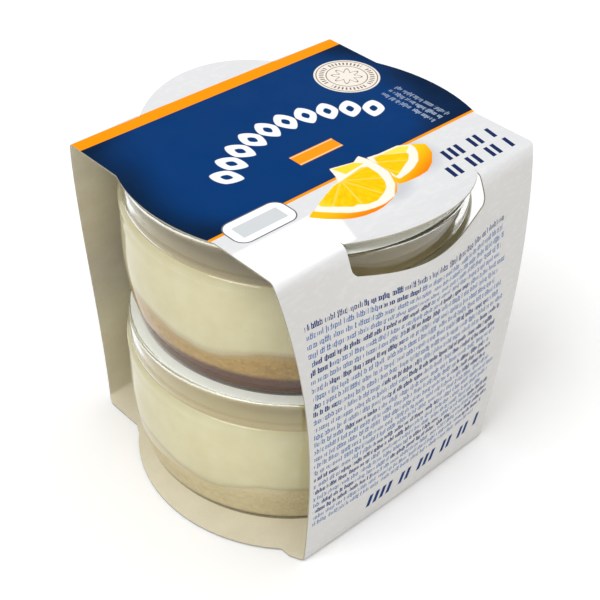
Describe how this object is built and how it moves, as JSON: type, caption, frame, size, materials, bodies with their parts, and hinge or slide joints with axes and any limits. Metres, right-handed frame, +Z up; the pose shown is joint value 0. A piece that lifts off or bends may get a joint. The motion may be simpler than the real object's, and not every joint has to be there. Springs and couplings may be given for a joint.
{
  "type": "cheesecake cup pack",
  "caption": "Stacked sealed glass dessert cups of cream over a crumb base, held in an open-ended printed board sleeve with side windows and small tongues.",
  "frame": {"origin": "on the floor, under the middle of the sleeve's bottom panel", "axes": "+X runs through the sleeve's open tunnel, +Y points at one side panel, +Z up"},
  "size_m": [0.0782, 0.0741, 0.0746],
  "materials": {
    "board": "printed, satin coated",
    "cup_glass": "clear, smooth",
    "crumb_pale": "moist biscuit crumb",
    "crumb_dark": "moist biscuit crumb",
    "cream": "smooth cream",
    "lid_film": "pale translucent film"
  },
  "bodies": {
    "root": {"sleeve": "board", "glass_lower": "cup_glass", "glass_upper": "cup_glass", "crumb_lower": "crumb_pale", "crumb_upper": "crumb_dark", "cream_lower": "cream", "cream_upper": "cream", "lid_lower": "lid_film", "lid_upper": "lid_film"}
  },
  "joints": []
}
